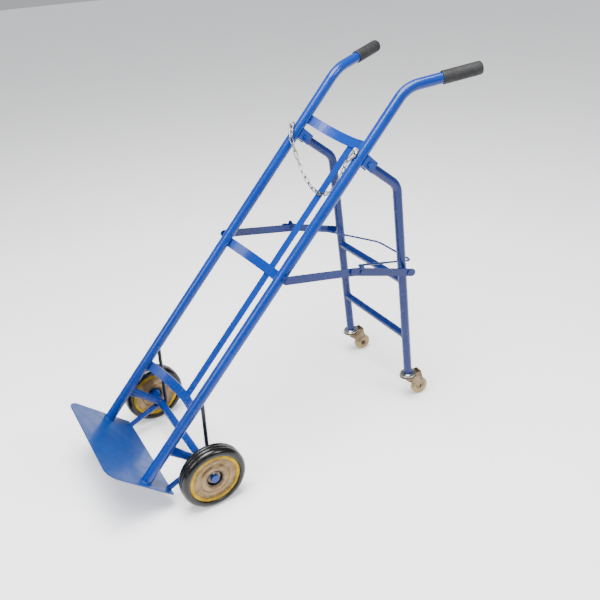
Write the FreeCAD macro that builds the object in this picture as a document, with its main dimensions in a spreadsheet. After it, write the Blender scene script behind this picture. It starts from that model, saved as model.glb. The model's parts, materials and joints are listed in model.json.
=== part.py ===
import FreeCAD, Part
import math
import os
import Sketcher
from FreeCAD import Placement, Rotation, Vector

# Gas cylinder hand truck with a fold-out rear leg frame on castors.
# +X is the right-hand side, +Y is the handle side, +Z is up, and the floor is z = 0.
# Lengths are millimetres and angles are degrees.

SIZES = {
    "lean": 44,
    "axle_back": -338.5,
    "axle_along": 112,
    "axle_behind": 135,
    "wheel_radius": 100,
    "wheel_offset": 70.9,
    "tyre_width": 50,
    "tyre_corner": 15,
    "tyre_depth": 21,
    "rim_width": 41,
    "rim_depth": 9,
    "sheet_wall": 2.5,
    "hub_radius": 27.5,
    "hub_width": 36,
    "axle_radius": 12.5,
    "axle_end": 14,
    "running_gap": 0.06,
    "side_gap": 0.4,
    "washer_wall": 2.5,
    "washer_radius": 19,
    "split_pin_radius": 2,
    "stile_x": 173.5,
    "stile_radius": 16,
    "tube_wall": 2,
    "bend_along": 1331,
    "bend_radius": 95,
    "bend_angle": 41.2,
    "splay": 30.3,
    "handle_run": 217,
    "grip_length": 117,
    "grip_wall": 3.2,
    "plate_margin": 29,
    "plate_front": 145,
    "plate_rear": 92,
    "plate_wall": 4,
    "plate_corner": 38,
    "plate_rear_corner": 5,
    "bar_wall": 4,
    "bar_height": 31,
    "bar_depth": 80,
    "bar_end_behind": 4,
    "lower_bar_along": 203,
    "middle_bar_along": 677,
    "upper_bar_along": 1138,
    "strap_half": 14,
    "strap_wall": 4,
    "strap_overlap": 26,
    "strut_half_height": 16.5,
    "strut_half_width": 8,
    "strut_flat": 60,
    "plate_strut_radius": 8.5,
    "plate_strut_behind": 84,
    "brace_radius": 6,
    "brace_along": 292,
    "brace_tail": 8,
    "pivot_along": 1100,
    "pivot_behind": 31,
    "bracket_wall": 3.5,
    "bracket_headroom": 2.8,
    "bracket_skirt": 15,
    "bracket_behind": 52,
    "bracket_start": 8,
    "hinge_bolt_radius": 5,
    "head_wall": 6,
    "leg_radius": 14,
    "leg_drop": 39.5,
    "leg_top_run": 139,
    "leg_bend_radius": 54,
    "leg_lean": 4.3,
    "leg_foot_height": 104,
    "crossbar_radius": 12.5,
    "lower_crossbar_up": 152,
    "upper_crossbar_up": 366,
    "stay_along": 704,
    "stay_behind": 1,
    "stay_half": 12,
    "stay_wall": 5,
    "stay_gap": 0.6,
    "stay_side_gap": 10,
    "front_stay_run": 253.7,
    "knee_lift": 13.05,
    "stay_pin_up": 411,
    "stay_tail": 14,
    "knee_lap": 28,
    "stay_bolt_radius": 4,
    "stay_head_radius": 7,
    "boss_radius": 8,
    "knee_head_wall": 3,
    "bail_radius": 3.25,
    "bail_half": 90,
    "bail_run": 300,
    "bail_drop": 21.3,
    "bail_corner": 27,
    "bail_rise": 15.9,
    "bail_elbow": 7,
    "bail_lug_radius": 7.2,
    "bail_lug_wall": 3.5,
    "castor_radius": 30,
    "castor_width": 20,
    "castor_trail": 44,
    "castor_corner": 4,
    "raceway_radius": 27,
    "raceway_height": 9,
    "fork_radius": 29,
    "fork_rear": 47,
    "fork_wall": 2.5,
    "fork_clearance": 1.5,
    "stem_radius": 6,
    "chain_along": 1107,
    "eye_radius": 8,
    "eye_wire": 2.5,
    "hook_length": 44,
    "hook_wire": 2.2,
    "chain_wire": 1.7,
    "chain_inside": 23.4,
    "chain_half_width": 6.5,
    "chain_count": 19,
}

# Places worked out from the sizes: (name, expression).
PLACES = [
    ("wheel_track", "Size.stile_x + Size.wheel_offset"),
    ("plate_half", "Size.stile_x + Size.plate_margin"),
    ("stay_x", "Size.stile_x + Size.stile_radius + Size.stay_side_gap"),
    ("foot_y", "Size.axle_back - Size.axle_along * sin(Size.lean) - Size.axle_behind * cos(Size.lean)"),
    ("foot_z", "Size.wheel_radius - Size.axle_along * cos(Size.lean) + Size.axle_behind * sin(Size.lean)"),
    ("pivot_y", "At.foot_y + Size.pivot_along * sin(Size.lean) + Size.pivot_behind * cos(Size.lean)"),
    ("pivot_z", "At.foot_z + Size.pivot_along * cos(Size.lean) - Size.pivot_behind * sin(Size.lean)"),
    ("knuckle_y", "At.pivot_y + Size.leg_top_run * cos(Size.leg_drop)"),
    ("knuckle_z", "At.pivot_z - Size.leg_top_run * sin(Size.leg_drop)"),
    ("leg_run", "(At.knuckle_z - Size.leg_foot_height) / cos(Size.leg_lean)"),
    ("leg_y", "At.knuckle_y + At.leg_run * sin(Size.leg_lean)"),
    ("front_pin_y", "At.foot_y + Size.stay_along * sin(Size.lean) + Size.stay_behind * cos(Size.lean)"),
    ("front_pin_z", "At.foot_z + Size.stay_along * cos(Size.lean) - Size.stay_behind * sin(Size.lean)"),
    ("rear_pin_y", "At.leg_y - Size.stay_pin_up * sin(Size.leg_lean)"),
    ("rear_pin_z", "Size.leg_foot_height + Size.stay_pin_up * cos(Size.leg_lean)"),
    ("reach", "sqrt((At.rear_pin_y - At.front_pin_y) ^ 2 + (At.rear_pin_z - At.front_pin_z) ^ 2)"),
    ("reach_y", "(At.rear_pin_y - At.front_pin_y) / At.reach"),
    ("reach_z", "(At.rear_pin_z - At.front_pin_z) / At.reach"),
    ("knee_share", "sqrt(Size.front_stay_run ^ 2 - Size.knee_lift ^ 2)"),
    ("knee_y", "At.front_pin_y + At.knee_share * At.reach_y - Size.knee_lift * At.reach_z"),
    ("knee_z", "At.front_pin_z + At.knee_share * At.reach_z + Size.knee_lift * At.reach_y"),
    ("rear_run", "sqrt((At.rear_pin_y - At.knee_y) ^ 2 + (At.rear_pin_z - At.knee_z) ^ 2)"),
    ("rear_stay_x", "At.stay_x + Size.stay_wall + Size.stay_gap"),
    ("bail_y", "At.knee_y + Size.bail_run * cos(Size.bail_drop)"),
    ("bail_z", "At.knee_z + Size.bail_rise - Size.bail_run * sin(Size.bail_drop)"),
    ("rim_radius", "Size.wheel_radius - Size.tyre_depth"),
    ("rim_inside", "At.rim_radius - Size.rim_depth"),
    ("axle_reach", "At.wheel_track + Size.hub_width / 2 + 4"),
    ("hub_face", "Size.hub_width / 2 - 8"),
    ("castor_drop", "(Size.leg_foot_height + Size.castor_trail * sin(Size.leg_lean) - Size.castor_radius)"
                    " / cos(Size.leg_lean)"),
    ("fork_top", "-(Size.raceway_height + 0.5)"),
    ("fork_half", "Size.castor_width / 2 + Size.fork_clearance + Size.fork_wall"),
    ("bolt_bore", "Size.stay_bolt_radius + Size.running_gap"),
    ("strap_low", "Size.lower_bar_along + Size.bar_height - Size.strap_overlap"),
    ("strap_high", "Size.upper_bar_along + Size.strap_overlap"),
]

doc = FreeCAD.newDocument("HandTruck")
sheet = doc.addObject("Spreadsheet::Sheet", "Size")
for row, (alias, value) in enumerate(SIZES.items(), 1):
    sheet.set(f"A{row}", alias)
    sheet.set(f"B{row}", str(value))
    sheet.setAlias(f"B{row}", alias)
places = doc.addObject("App::VarSet", "At")
for alias, formula in PLACES:
    places.addProperty("App::PropertyFloat", alias, "Places")
doc.recompute()
for alias, formula in PLACES:
    places.setExpression(alias, formula)
    doc.recompute()

PARTS = []

# Frames that the pieces are drawn in: x, y, z and the turn about X, as expressions.
GROUND = ("0", "0", "0", "0")
STILE = ("0", "At.foot_y", "At.foot_z", "-Size.lean")
LEG = ("0", "At.leg_y", "Size.leg_foot_height", "Size.leg_lean")
RIGHT_LEG = ("Size.stile_x", "At.leg_y", "Size.leg_foot_height", "Size.leg_lean")
AXLE = ("0", "Size.axle_back", "Size.wheel_radius", "0")
RIGHT_WHEEL = ("At.wheel_track", "Size.axle_back", "Size.wheel_radius", "0")
BAIL = ("0", "At.bail_y", "At.bail_z", "-Size.bail_drop")


def value(expression):
    """The number that an expression gives now."""
    return float(places.evalExpression(str(expression)))


def put(item, frame):
    """Place an item in a frame, and keep it there when a size changes."""
    x, y, z, turn = frame
    item.Placement = Placement(Vector(value(x), value(y), value(z)), Rotation(Vector(1, 0, 0), value(turn)))
    for name, text in zip(("Base.x", "Base.y", "Base.z"), (x, y, z)):
        item.setExpression("Placement." + name, text)
    if turn != "0":
        item.setExpression("Placement.Rotation.Angle", turn)


def keep(label, item):
    """Name a finished sub-part."""
    item.Label = label
    PARTS.append(item)
    return item


# ---- Sketches -------------------------------------------------------------------------

def sketch(body, plane, lift="0", turn="0"):
    """A sketch on one of the body's own planes, lifted off it and turned about its upright."""
    drawing = body.newObject("Sketcher::SketchObject", "Sketch")
    support = next(item for item in body.Origin.OriginFeatures if item.Role == plane + "_Plane")
    drawing.AttachmentSupport = [(support, "")]
    drawing.MapMode = "FlatFace"
    drawing.AttachmentOffset = Placement(Vector(0, 0, value(lift)), Rotation(Vector(0, 1, 0), value(turn)))
    drawing.setExpression("AttachmentOffset.Base.z", lift)
    if turn != "0":
        drawing.setExpression("AttachmentOffset.Rotation.Angle", turn)
    return drawing


def limit(drawing, kind, *terms):
    """Add a constraint whose size, the last term, is an expression."""
    index = drawing.addConstraint(Sketcher.Constraint(kind, *terms[:-1], value(terms[-1])))
    drawing.setExpression(f"Constraints[{index}]", str(terms[-1]))


def pin(drawing, shape, spot, point):
    """Fix a point of a shape at x, y from the sketch's origin."""
    limit(drawing, "DistanceX", -1, 1, shape, spot, point[0])
    limit(drawing, "DistanceY", -1, 1, shape, spot, point[1])


def outline(drawing, points, radii=None, closed=True):
    """Straight runs through points, with a tangent arc at each corner that has a radius."""
    radii = radii or {}
    spots = [Vector(value(x), value(y), 0) for x, y in points]
    count = len(spots)
    leave = list(spots)
    arrive = list(spots)
    corners = {}
    for index, radius in radii.items():
        corner = spots[index]
        back = (spots[index - 1] - corner).normalize()
        ahead = (spots[(index + 1) % count] - corner).normalize()
        half = back.getAngle(ahead) / 2
        size = value(radius)
        arrive[index] = corner + back * (size / math.tan(half))
        leave[index] = corner + ahead * (size / math.tan(half))
        middle = corner + (back + ahead).normalize() * (size / math.sin(half))
        left = back.cross(ahead).z < 0
        first, last = (arrive[index], leave[index]) if left else (leave[index], arrive[index])
        start = math.atan2(first.y - middle.y, first.x - middle.x)
        end = math.atan2(last.y - middle.y, last.x - middle.x)
        circle = Part.Circle(middle, Vector(0, 0, 1), size)
        corners[index] = (Part.ArcOfCircle(circle, start, end), left, radius)
    runs = []
    for index in range(count if closed else count - 1):
        following = (index + 1) % count
        line = Part.LineSegment(leave[index], arrive[following])
        runs.append(drawing.addGeometry(line, False))
    for index in range(count):
        before = runs[index - 1] if closed or index else None
        after = runs[index] if index < len(runs) else None
        if index in corners:
            arc, left, radius = corners[index]
            bend = drawing.addGeometry(arc, False)
            mark = drawing.addGeometry(Part.Point(spots[index]), True)
            into, out_of = (1, 2) if left else (2, 1)
            drawing.addConstraint(Sketcher.Constraint("Tangent", before, 2, bend, into))
            drawing.addConstraint(Sketcher.Constraint("Tangent", after, 1, bend, out_of))
            limit(drawing, "Radius", bend, radius)
            pin(drawing, mark, 1, points[index])
            drawing.addConstraint(Sketcher.Constraint("PointOnObject", mark, 1, before))
            drawing.addConstraint(Sketcher.Constraint("PointOnObject", mark, 1, after))
        elif before is None:
            pin(drawing, after, 1, points[index])
        else:
            pin(drawing, before, 2, points[index])
            if after is not None:
                drawing.addConstraint(Sketcher.Constraint("Coincident", before, 2, after, 1))
    return drawing


def ring(drawing, centre, *radii):
    """Circles about one centre."""
    middle = Vector(value(centre[0]), value(centre[1]), 0)
    for radius in radii:
        shape = drawing.addGeometry(Part.Circle(middle, Vector(0, 0, 1), value(radius)), False)
        limit(drawing, "Radius", shape, radius)
        pin(drawing, shape, 3, centre)
    return drawing


def slot(drawing, first, last, radius):
    """A straight bar with full-round ends about two points."""
    start = Vector(value(first[0]), value(first[1]), 0)
    end = Vector(value(last[0]), value(last[1]), 0)
    size = value(radius)
    heading = math.atan2(end.y - start.y, end.x - start.x)
    side = Vector(-math.sin(heading), math.cos(heading), 0) * size
    quarter = math.pi / 2
    up = Vector(0, 0, 1)
    lower = drawing.addGeometry(Part.LineSegment(start - side, end - side), False)
    nose = drawing.addGeometry(
        Part.ArcOfCircle(Part.Circle(end, up, size), heading - quarter, heading + quarter), False)
    upper = drawing.addGeometry(Part.LineSegment(end + side, start + side), False)
    tail = drawing.addGeometry(
        Part.ArcOfCircle(Part.Circle(start, up, size), heading + quarter, heading + 3 * quarter), False)
    for one, other in ((lower, nose), (nose, upper), (upper, tail), (tail, lower)):
        drawing.addConstraint(Sketcher.Constraint("Tangent", one, 2, other, 1))
    drawing.addConstraint(Sketcher.Constraint("Equal", nose, tail))
    limit(drawing, "Radius", nose, radius)
    pin(drawing, tail, 3, first)
    pin(drawing, nose, 3, last)
    return drawing


# ---- Features -------------------------------------------------------------------------

def new_body(frame):
    body = doc.addObject("PartDesign::Body", "Body")
    put(body, frame)
    return body


def pad(body, drawing, length, symmetric=False):
    feature = body.newObject("PartDesign::Pad", "Pad")
    feature.Profile = drawing
    feature.SideType = "Symmetric" if symmetric else "One side"
    feature.setExpression("Length", length)
    doc.recompute()
    return feature


def pocket_through(body, drawing):
    """Cut a profile right through the body both ways, and make sure that it cut."""
    before = body.Shape.Volume
    feature = body.newObject("PartDesign::Pocket", "Pocket")
    feature.Profile = drawing
    feature.Type = "ThroughAll"
    feature.SideType = "Symmetric"
    doc.recompute()
    if not body.Shape.Volume < before:
        raise RuntimeError(f"{feature.Name} cuts nothing")
    return feature


def pocket_between(body, drawing, width):
    """Cut a profile to a width that is shared by both sides of its plane."""
    before = body.Shape.Volume
    feature = body.newObject("PartDesign::Pocket", "Pocket")
    feature.Profile = drawing
    feature.Type = "Length"
    feature.SideType = "Symmetric"
    feature.setExpression("Length", width)
    doc.recompute()
    if not body.Shape.Volume < before:
        raise RuntimeError(f"{feature.Name} cuts nothing")
    return feature


def pipe(body, path, profile):
    feature = body.newObject("PartDesign::AdditivePipe", "Pipe")
    feature.Profile = profile
    doc.recompute()
    feature.Spine = (path, [f"Edge{number + 1}" for number in range(len(path.Shape.Edges))])
    feature.Transition = "Round corner"
    doc.recompute()
    return feature


def revolve(body, drawing, axis="H_Axis"):
    feature = body.newObject("PartDesign::Revolution", "Revolution")
    feature.Profile = drawing
    feature.ReferenceAxis = (drawing, [axis])
    feature.Angle = 360
    doc.recompute()
    return feature


def turned(frame, points, radii=None):
    """A body turned about its own X axis from an outline of (along, radius) points."""
    body = new_body(frame)
    revolve(body, outline(sketch(body, "XY"), points, radii))
    return body


def rod(radius, length, spot, axis):
    """A round bar from a spot along X, Y or Z."""
    item = doc.addObject("Part::Cylinder", "Rod")
    item.setExpression("Radius", radius)
    item.setExpression("Height", length)
    turns = {"X": Rotation(Vector(0, 1, 0), 90), "Y": Rotation(Vector(1, 0, 0), -90), "Z": Rotation()}
    item.Placement = Placement(Vector(0, 0, 0), turns[axis])
    for name, text in zip("xyz", spot):
        item.setExpression("Placement.Base." + name, text)
    doc.recompute()
    return item


def hexagon(across, length, spot):
    """A six-sided bar along X from a spot; across is the corner radius."""
    item = doc.addObject("Part::Prism", "Hexagon")
    item.Polygon = 6
    item.setExpression("Circumradius", across)
    item.setExpression("Height", length)
    item.Placement = Placement(Vector(0, 0, 0), Rotation(Vector(0, 1, 0), 90))
    for name, text in zip("xyz", spot):
        item.setExpression("Placement.Base." + name, text)
    doc.recompute()
    return item


def cut(base, *tools):
    for tool in tools:
        feature = doc.addObject("Part::Cut", "Cut")
        feature.Base = base
        feature.Tool = tool
        doc.recompute()
        base = feature
    return base


def fuse(*items):
    feature = doc.addObject("Part::MultiFuse", "Fuse")
    feature.Shapes = list(items)
    feature.Refine = True
    doc.recompute()
    return feature


def group(*items):
    feature = doc.addObject("Part::Compound", "Group")
    feature.Links = list(items)
    doc.recompute()
    return feature


def mirrored(item):
    """The same piece on the other side of the truck's middle plane."""
    feature = doc.addObject("Part::Mirroring", "Mirror")
    feature.Source = item
    feature.Base = (0, 0, 0)
    feature.Normal = (1, 0, 0)
    doc.recompute()
    return feature


def pair(name, item):
    """A right-hand sub-part and its left-hand mirror image, each in its own file."""
    keep("right_" + name, item)
    keep("left_" + name, mirrored(item))


def both(label, item):
    """Like pieces on both sides of the truck that share one file."""
    keep(label, group(item, mirrored(item)))


def tube_envelope(frame, radius, length, across="Size.stile_x"):
    """The outside of both upright tubes in a frame, used to cope what is welded to them."""
    right = rod(radius, length, (across, "0", f"-({length}) / 2"), "Z")
    left = rod(radius, length, (f"-{across}", "0", f"-({length}) / 2"), "Z")
    both_tubes = fuse(right, left)
    put(both_tubes, frame)
    return both_tubes


# ---- Toe plate, stiles and grips ------------------------------------------------------

def toe_plate():
    body = new_body(STILE)
    half, front, rear = "At.plate_half", "-Size.plate_front", "Size.plate_rear"
    corners = [(half, front), (half, rear), ("-" + half, rear), ("-" + half, front)]
    radii = {0: "Size.plate_corner", 1: "Size.plate_rear_corner",
             2: "Size.plate_rear_corner", 3: "Size.plate_corner"}
    drawing = outline(sketch(body, "XY", "-Size.plate_wall"), corners, radii)
    pad(body, drawing, "Size.plate_wall")
    keep("toe_plate", body)


def along_handle(run, out):
    """A point of the handle in the stile's own plane, from its bend."""
    across = f"({run}) * sin(Size.bend_angle) + ({out}) * cos(Size.bend_angle)"
    along = f"Size.bend_along + ({run}) * cos(Size.bend_angle) - ({out}) * sin(Size.bend_angle)"
    return across, along


def stiles():
    """One bent tube on each side: a straight stile that splays out into its handle."""
    body = new_body(("Size.stile_x",) + STILE[1:])
    path = sketch(body, "YZ", turn="-Size.splay")
    end = along_handle("Size.handle_run", "0")
    outline(path, [("0", "0"), ("0", "Size.bend_along"), end], {1: "Size.bend_radius"}, closed=False)
    profile = ring(sketch(body, "XY"), ("0", "0"), "Size.stile_radius", "Size.stile_radius - Size.tube_wall")
    doc.recompute()
    pipe(body, path, profile)
    pair("stile", body)


def grips():
    """A moulded sleeve with a closed, rounded end over each handle."""
    body = new_body(("Size.stile_x",) + STILE[1:])
    drawing = sketch(body, "YZ", turn="-Size.splay")
    start = "Size.handle_run + Size.grip_wall - Size.grip_length"
    stop = "Size.handle_run + Size.grip_wall"
    out = "Size.stile_radius + Size.grip_wall"
    lip = "Size.stile_radius + Size.grip_wall / 2"
    points = [(start, "Size.stile_radius"), (start, lip), (f"{start} + 3", out), (stop, out), (stop, "0"),
              ("Size.handle_run", "0"), ("Size.handle_run", "Size.stile_radius")]
    outline(drawing, [along_handle(run, radius) for run, radius in points], {3: "Size.grip_wall * 3"})
    line = Part.LineSegment(Vector(0, value("Size.bend_along"), 0),
                            Vector(value(along_handle(start, "0")[0]), value(along_handle(start, "0")[1]), 0))
    axis = drawing.addGeometry(line, True)
    pin(drawing, axis, 1, ("0", "Size.bend_along"))
    pin(drawing, axis, 2, along_handle(start, "0"))
    doc.recompute()
    revolve(body, drawing, "Axis0")
    pair("grip", body)


# ---- Cradle bars and strap ------------------------------------------------------------

def cradle_bar(label, along):
    """A flat bar bowed rearward between the stiles to carry a cylinder."""
    body = new_body(STILE)
    drawing = sketch(body, "XY", along)
    reach = value("Size.stile_x")
    back = value("Size.bar_depth")
    edge = value("Size.bar_end_behind")
    radius = ((back - edge) ** 2 + reach ** 2) / (2 * (back - edge))
    centre = Vector(0, back - radius, 0)
    half = math.asin(reach / radius)
    arcs = []
    for size in (radius, radius - value("Size.bar_wall")):
        circle = Part.Circle(centre, Vector(0, 0, 1), size)
        arcs.append(drawing.addGeometry(Part.ArcOfCircle(circle, math.pi / 2 - half, math.pi / 2 + half), False))
    outer, inner = arcs
    ends = []
    for spot in (1, 2):
        line = Part.LineSegment(drawing.getPoint(outer, spot), drawing.getPoint(inner, spot))
        ends.append(drawing.addGeometry(line, False))
        drawing.addConstraint(Sketcher.Constraint("Coincident", outer, spot, ends[-1], 1))
        drawing.addConstraint(Sketcher.Constraint("Coincident", inner, spot, ends[-1], 2))
        drawing.addConstraint(Sketcher.Constraint("PointOnObject", outer, 3, ends[-1]))
    drawing.addConstraint(Sketcher.Constraint("Coincident", outer, 3, inner, 3))
    drawing.addConstraint(Sketcher.Constraint("PointOnObject", outer, 3, -2))
    pin(drawing, outer, 1, ("Size.stile_x", "Size.bar_end_behind"))
    limit(drawing, "DistanceX", -1, 1, outer, 2, "-Size.stile_x")
    bow = "((Size.bar_depth - Size.bar_end_behind) ^ 2 + Size.stile_x ^ 2)" \
          " / (2 * (Size.bar_depth - Size.bar_end_behind))"
    limit(drawing, "Radius", outer, bow)
    limit(drawing, "Radius", inner, f"{bow} - Size.bar_wall")
    pad(body, drawing, "Size.bar_height")
    cope = sketch(body, "XY", along)
    ring(cope, ("Size.stile_x", "0"), "Size.stile_radius")
    ring(cope, ("-Size.stile_x", "0"), "Size.stile_radius")
    pocket_through(body, cope)
    keep(label, body)


def centre_strap():
    """The flat strap that joins the backs of the three bars."""
    body = new_body(STILE)
    drawing = sketch(body, "XZ", "-Size.bar_depth")
    half, low, high = "Size.strap_half", "At.strap_low", "At.strap_high"
    outline(drawing, [("-" + half, low), (half, low), (half, high), ("-" + half, high)])
    feature = pad(body, drawing, "Size.strap_wall")
    feature.Reversed = True
    doc.recompute()
    keep("centre_strap", body)


# ---- Axle and its braces --------------------------------------------------------------

def axle():
    bar = rod("Size.axle_radius", "2 * At.axle_reach", ("-At.axle_reach", "0", "0"), "X")
    spot = "At.wheel_track + At.hub_face + Size.side_gap + Size.washer_wall + Size.split_pin_radius + 0.2"
    tall = "3 * Size.axle_radius"
    holes = [rod("Size.split_pin_radius + 0.1", tall, (f"{side}({spot})", "0", f"-({tall}) / 2"), "Z")
             for side in ("", "-")]
    bar = cut(bar, *holes)
    put(bar, AXLE)
    keep("axle", bar)
    pins = rod("Size.split_pin_radius", "2 * Size.washer_radius - 4", (spot, "0", "2 - Size.washer_radius"), "Z")
    eye = doc.addObject("Part::Torus", "Eye")
    eye.setExpression("Radius1", "Size.split_pin_radius * 1.5")
    eye.setExpression("Radius2", "Size.split_pin_radius * 0.8")
    eye.Placement = Placement(Vector(0, 0, 0), Rotation(Vector(0, 1, 0), 90))
    eye.setExpression("Placement.Base.x", spot)
    eye.setExpression("Placement.Base.z", "Size.washer_radius - 2 + Size.split_pin_radius")
    pins = fuse(pins, eye)
    put(pins, AXLE)
    both("split_pins", pins)


def axle_struts():
    """Tubes pressed flat where they meet the stiles, and round where they meet the axle."""
    inner = doc.addObject("Part::Ellipse", "FlatEnd")
    inner.setExpression("MajorRadius", "Size.strut_half_height")
    inner.setExpression("MinorRadius", "Size.strut_half_width")
    inner.Placement = Placement(Vector(0, 0, 0), Rotation(Vector(0, 0, 1), Vector(1, 0, 0), Vector(0, 1, 0), "ZXY"))
    outer = doc.addObject("Part::Circle", "RoundEnd")
    outer.setExpression("Radius", "Size.axle_radius")
    outer.Placement = inner.Placement
    for item, behind in ((inner, "Size.stile_radius / 2"), (outer, "Size.strut_flat")):
        item.setExpression("Placement.Base.x", "Size.stile_x")
        item.setExpression("Placement.Base.y", behind)
        item.setExpression("Placement.Base.z", "Size.axle_along")
    doc.recompute()
    taper = doc.addObject("Part::Loft", "Taper")
    taper.Sections = [inner, outer]
    taper.Solid = True
    taper.Ruled = True
    run = rod("Size.axle_radius", "Size.axle_behind - Size.strut_flat",
              ("Size.stile_x", "Size.strut_flat", "Size.axle_along"), "Y")
    stile = rod("Size.stile_radius", "Size.bend_along", ("Size.stile_x", "0", "0"), "Z")
    bar = rod("Size.axle_radius", "2 * Size.stile_x", ("0", "Size.axle_behind", "Size.axle_along"), "X")
    strut = cut(fuse(taper, run), stile, bar)
    put(strut, STILE)
    pair("axle_strut", strut)


def plate_struts():
    """Round stays from the toe plate's rear corners up to the axle."""
    rise = "(Size.axle_behind - Size.plate_strut_behind)"
    item = doc.addObject("Part::Cylinder", "PlateStrut")
    item.setExpression("Radius", "Size.plate_strut_radius")
    item.setExpression("Height", f"sqrt({rise} ^ 2 + Size.axle_along ^ 2) + 20")
    angle = f"-atan({rise} / Size.axle_along)"
    item.Placement = Placement(Vector(0, 0, 0), Rotation(Vector(1, 0, 0), value(angle)))
    item.setExpression("Placement.Base.x", "Size.stile_x")
    item.setExpression("Placement.Base.y", f"Size.plate_strut_behind + 20 * sin({angle})")
    item.setExpression("Placement.Base.z", f"-20 * cos({angle})")
    item.setExpression("Placement.Rotation.Angle", angle)
    floor = doc.addObject("Part::Box", "PlateTop")
    for name, size in (("Length", "4 * Size.plate_strut_radius"), ("Width", "8 * Size.plate_strut_radius"),
                       ("Height", "6 * Size.plate_strut_radius")):
        floor.setExpression(name, size)
    floor.setExpression("Placement.Base.x", "Size.stile_x - 2 * Size.plate_strut_radius")
    floor.setExpression("Placement.Base.y", "Size.plate_strut_behind - 4 * Size.plate_strut_radius")
    floor.setExpression("Placement.Base.z", "-6 * Size.plate_strut_radius")
    bar = rod("Size.axle_radius", "2 * Size.stile_x", ("0", "Size.axle_behind", "Size.axle_along"), "X")
    past = rod("Size.axle_radius", "2 * Size.stile_x",
               ("0", "Size.axle_behind + Size.axle_radius * 0.5", "Size.axle_along + Size.axle_radius"), "X")
    strut = rod("Size.strut_half_height", "Size.axle_behind", ("Size.stile_x", "0", "Size.axle_along"), "Y")
    doc.recompute()
    strut = cut(item, floor, bar, past, strut)
    put(strut, STILE)
    pair("plate_strut", strut)


def brace_rods():
    """Thin rods from the backs of the stiles down behind the axle."""
    top_y = "(At.foot_y + Size.brace_along * sin(Size.lean))"
    top_z = "(At.foot_z + Size.brace_along * cos(Size.lean))"
    low_y = "(Size.axle_back + Size.axle_radius + Size.brace_radius + 0.1)"
    low_z = "(Size.wheel_radius - Size.brace_tail)"
    item = doc.addObject("Part::Cylinder", "BraceRod")
    item.setExpression("Radius", "Size.brace_radius")
    item.setExpression("Height", f"sqrt(({top_y} - {low_y}) ^ 2 + ({top_z} - {low_z}) ^ 2)")
    angle = f"-atan(({top_y} - {low_y}) / ({top_z} - {low_z}))"
    item.Placement = Placement(Vector(0, 0, 0), Rotation(Vector(1, 0, 0), value(angle)))
    item.setExpression("Placement.Base.x", "Size.stile_x")
    item.setExpression("Placement.Base.y", low_y)
    item.setExpression("Placement.Base.z", low_z)
    item.setExpression("Placement.Rotation.Angle", angle)
    doc.recompute()
    pair("brace_rod", cut(item, tube_envelope(STILE, "Size.stile_radius", "2 * Size.bend_along")))


# ---- Wheels ---------------------------------------------------------------------------

def wheels():
    """Right-hand wheel about its own middle plane; the left-hand one is its mirror image."""
    tread = "Size.tyre_width / 2"
    tyre = turned(RIGHT_WHEEL,
                  [("-" + tread, "At.rim_radius"), ("-" + tread, "Size.wheel_radius"),
                   (tread, "Size.wheel_radius"), (tread, "At.rim_radius")],
                  {1: "Size.tyre_corner", 2: "Size.tyre_corner"})
    pair("tyre", tyre)

    edge = "Size.rim_width / 2"
    lip = f"{edge} - Size.sheet_wall"
    band = "At.rim_radius - Size.sheet_wall"
    rim = turned(RIGHT_WHEEL,
                 [("-" + edge, "At.rim_inside"), ("-" + edge, "At.rim_radius"), (edge, "At.rim_radius"),
                  (edge, "At.rim_inside"), (lip, "At.rim_inside"), (lip, band),
                  (f"-({lip})", band), (f"-({lip})", "At.rim_inside")])
    pair("rim", rim)

    flange = "Size.hub_width / 2"
    dish = [(edge, "At.rim_inside"), (edge, "At.rim_inside - 7"), (f"{edge} - 5", "At.rim_inside - 12"),
            (f"{edge} - 5", "Size.hub_radius + 19"), (f"{edge} + 1", "Size.hub_radius + 14"),
            (f"{edge} + 1", "Size.hub_radius + 4"), (flange, "Size.hub_radius")]
    back = [(f"{x} - Size.sheet_wall", radius) for x, radius in reversed(dish)]
    disc = turned(RIGHT_WHEEL, dish + back)
    inner = turned(RIGHT_WHEEL, [(f"-({x})", radius) for x, radius in dish + back])
    pair("wheel_discs", group(disc, inner))

    bore = "Size.axle_radius + Size.running_gap"
    neck = "Size.axle_radius + 5"
    face = "At.hub_face"
    web = "Size.sheet_wall"
    wall = "Size.hub_radius - Size.sheet_wall"
    hub = turned(RIGHT_WHEEL,
                 [("-" + face, bore), ("-" + face, neck), ("-" + web, neck), ("-" + web, wall),
                  ("-" + flange, wall), ("-" + flange, "Size.hub_radius"), (flange, "Size.hub_radius"),
                  (flange, wall), (web, wall), (web, neck), (face, neck), (face, bore)])
    pair("hub", hub)

    near = "At.hub_face + Size.side_gap"
    far = f"{near} + Size.washer_wall"
    washer = turned(RIGHT_WHEEL, [(near, "Size.axle_radius"), (near, "Size.washer_radius"),
                                  (far, "Size.washer_radius"), (far, "Size.axle_radius")])
    both("axle_washers", washer)
    far = f"{near} + 3 * Size.washer_wall"
    collar = turned(RIGHT_WHEEL, [(f"-({near})", "Size.axle_radius"), (f"-({near})", "Size.washer_radius"),
                                  (f"-({far})", "Size.washer_radius"), (f"-({far})", "Size.axle_radius")],
                    {2: "Size.washer_wall / 2"})
    both("axle_collars", collar)


# ---- Leg brackets and hinge bolts -----------------------------------------------------

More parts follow.
